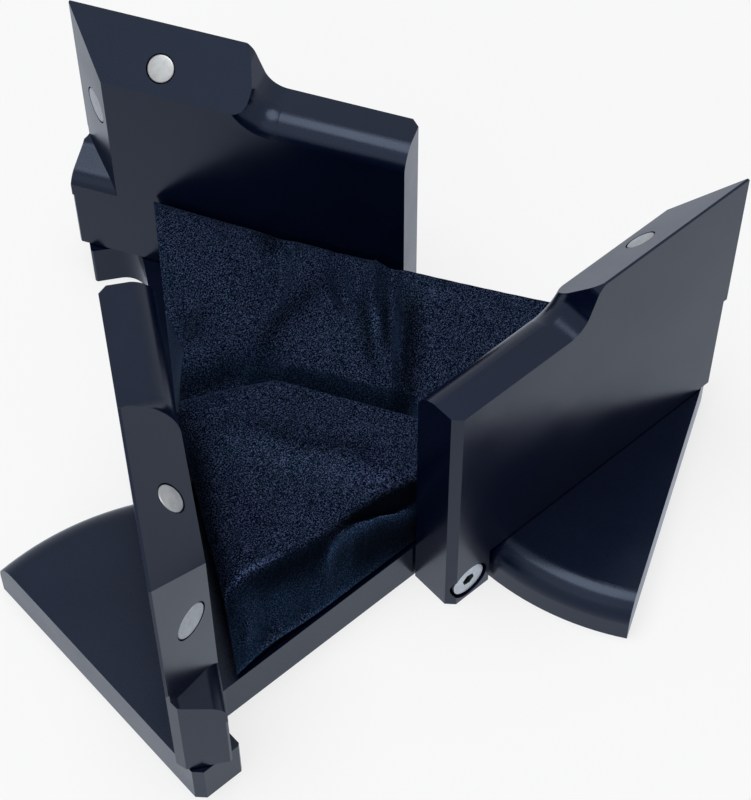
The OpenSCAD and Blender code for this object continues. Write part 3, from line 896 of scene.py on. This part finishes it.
class RingBoxInsert(bpy.types.PropertyGroup):
    height: FloatProperty(
        name="Insert height", description="Height of the cloth over the table at the slot",
        unit="LENGTH", default=18.0 * MM)
    rise: FloatProperty(
        name="Rise to the back",
        description="How much higher the cloth stands against the back wall",
        unit="LENGTH", default=3.5 * MM)
    slot_length: FloatProperty(
        name="Slot length", description="Length of the ring slot", unit="LENGTH", default=22.0 * MM)
    slot_width: FloatProperty(
        name="Slot width", description="Width of the ring slot", unit="LENGTH", default=3.0 * MM)
    slot_depth: FloatProperty(
        name="Slot depth", description="Depth of the ring slot", unit="LENGTH", default=7.0 * MM)
    hem: FloatProperty(
        name="Hem height", description="Height of the hanging edge's hem over the table",
        unit="LENGTH", default=7.7 * MM)
    foot: FloatProperty(
        name="Foot", description="Height of the cushions' underside, on the base plates",
        unit="LENGTH", default=7.02 * MM)
    seam: FloatProperty(
        name="Seam gap", description="Gap between the cushions", unit="LENGTH", default=0.04 * MM)
    rows: IntProperty(
        name="Rows", description="Rows of faces across a cushion", min=20, max=200, default=140)


class RingBoxStage(bpy.types.PropertyGroup):
    lens: FloatProperty(
        name="Focal length", description="Focal length of the camera in mm", default=102.5)
    camera_place: FloatVectorProperty(
        name="Camera place", description="Where the camera stands", subtype="TRANSLATION", size=3,
        unit="LENGTH", default=(-0.113687, -0.143550, 0.264612))
    camera_turn: FloatVectorProperty(
        name="Camera turn", description="How the camera is turned", subtype="EULER", size=3,
        unit="ROTATION", default=(0.626790, 0.004935, -0.722978))
    table: FloatVectorProperty(
        name="Table", description="Colour of the table", subtype="COLOR", size=3, min=0.0, max=1.0,
        default=(0.93, 0.94, 0.95))


# ---------------------------------------------------------------- operators

class RINGBOX_OT_stage(bpy.types.Operator):
    """Lay the pale table, the soft light and the camera"""
    bl_idname = "ringbox.stage"
    bl_label = "Table, Light and Camera"

    def execute(self, context):
        stage = context.scene.ringbox_stage
        lay_table(stage)
        light_room(context.scene)
        set_camera(context.scene, stage)
        return {"FINISHED"}


class RINGBOX_OT_plates(bpy.types.Operator):
    """Give the six hinged plates their black-anodised finish"""
    bl_idname = "ringbox.plates"
    bl_label = "Anodised Plates"

    def execute(self, context):
        material = anodised_finish(context.scene.ringbox_finish)
        for node in PLATES:
            give(frame["nodes"][node], material)
        return {"FINISHED"}


class RINGBOX_OT_magnets(bpy.types.Operator):
    """Turn one plated disc magnet for the top edges and one for the end edges, and copy them"""
    bl_idname = "ringbox.magnets"
    bl_label = "Disc Magnets"

    def execute(self, context):
        sizes = context.scene.ringbox_fastenings
        finish = context.scene.ringbox_finish
        material = bare_metal_finish("plated_magnet", finish.magnet, satin=0.42)
        for ending, width in (
            ("_top_magnet", sizes.magnet_width), ("_end_magnet", sizes.end_magnet_width),
        ):
            pattern = self.turn_disc(ending, width, sizes.magnet_edge)
            give(pattern, material)
            for node in nodes_ending(ending):
                middle, axis, _ = axis_frame(node)
                piece = copy_along(pattern, node + "_disc", middle, axis)
                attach(piece, node_body(node))
                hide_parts(node)
            bpy.data.objects.remove(pattern)
        return {"FINISHED"}

    @staticmethod
    def turn_disc(ending, width, rounding):
        """A disc at the origin, as long as the frame's magnets, with both of its edges rounded."""
        _, _, half = axis_frame(nodes_ending(ending)[0])
        deselect_all()
        bpy.ops.mesh.primitive_cylinder_add(vertices=72, radius=width / 2, depth=2 * half)
        pattern = bpy.context.object
        bpy.ops.object.mode_set(mode="EDIT")
        mesh = bmesh.from_edit_mesh(pattern.data)
        for part in (mesh.verts, mesh.edges, mesh.faces):
            for item in part:
                item.select = False
        for edge in mesh.edges:
            if all(abs(abs(v.co.z) - half) < DISC_PLANE_ROOM for v in edge.verts):
                edge.select = len(edge.link_faces) == 2
        bmesh.update_edit_mesh(pattern.data)
        bpy.ops.mesh.bevel(offset=rounding, segments=4, affect="EDGES")
        bpy.ops.object.mode_set(mode="OBJECT")
        bpy.ops.object.shade_smooth_by_angle(angle=math.radians(40))
        return pattern


class RINGBOX_OT_screws(bpy.types.Operator):
    """Give the socket head screws of the pivots their finish"""
    bl_idname = "ringbox.screws"
    bl_label = "Pivot Screws"

    def execute(self, context):
        finish = context.scene.ringbox_finish
        # The screws' sockets get painted shade, up to 1.6 mm deep.
        material = bare_metal_finish("turned_screw_steel", finish.steel, 0.34, recess=1.6 * MM)
        for node in nodes_ending("_screw"):
            give(frame["nodes"][node], material)
        return {"FINISHED"}


class RINGBOX_OT_washers(bpy.types.Operator):
    """Give the thin friction washers of the pivots their finish"""
    bl_idname = "ringbox.washers"
    bl_label = "Pivot Washers"

    def execute(self, context):
        material = washer_finish()
        for node in nodes_ending("_washer"):
            give(frame["nodes"][node], material)
        return {"FINISHED"}


class RINGBOX_OT_cushions(bpy.types.Operator):
    """Make the three cushions of the velvet insert, with slot, folds and hanging edges"""
    bl_idname = "ringbox.cushions"
    bl_label = "Velvet Insert"

    def execute(self, context):
        insert = context.scene.ringbox_insert
        material = velvet_finish(context.scene.ringbox_finish)
        for k, (node, body) in enumerate(CUSHIONS):
            cushion = make_cushion(node + "_cover", k, insert)
            give(cushion, material)
            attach(cushion, body)
            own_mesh(cushion)
            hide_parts(node)
        return {"FINISHED"}


class RINGBOX_PT_panel(bpy.types.Panel):
    """The pieces of the ring display box"""
    bl_label = "Ring Box"
    bl_idname = "RINGBOX_PT_panel"
    bl_space_type = "VIEW_3D"
    bl_region_type = "UI"
    bl_category = "Ring Box"

    def draw(self, context):
        layout = self.layout
        for place in GROUPS:
            group = getattr(context.scene, place)
            box = layout.box()
            for name in group.bl_rna.properties.keys():
                if name not in ("rna_type", "name"):
                    box.prop(group, name)
        for operator in OPERATORS:
            layout.operator(operator.bl_idname)


# The sizes and colours, by the name that the scene keeps them under.
GROUPS = {
    "ringbox_finish": RingBoxFinish,
    "ringbox_fastenings": RingBoxFastenings,
    "ringbox_insert": RingBoxInsert,
    "ringbox_stage": RingBoxStage,
}
OPERATORS = (
    RINGBOX_OT_stage, RINGBOX_OT_plates, RINGBOX_OT_magnets, RINGBOX_OT_screws,
    RINGBOX_OT_washers, RINGBOX_OT_cushions,
)
CLASSES = (*GROUPS.values(), *OPERATORS, RINGBOX_PT_panel)


def register():
    for cls in CLASSES:
        bpy.utils.register_class(cls)
    for name, group in GROUPS.items():
        setattr(bpy.types.Scene, name, PointerProperty(type=group))


def unregister():
    for name in GROUPS:
        delattr(bpy.types.Scene, name)
    for cls in reversed(CLASSES):
        bpy.utils.unregister_class(cls)


def main():
    register()
    bpy.ops.ringbox.stage()
    bpy.ops.ringbox.plates()
    bpy.ops.ringbox.magnets()
    bpy.ops.ringbox.screws()
    bpy.ops.ringbox.washers()
    bpy.ops.ringbox.cushions()


if __name__ == "__main__":
    main()
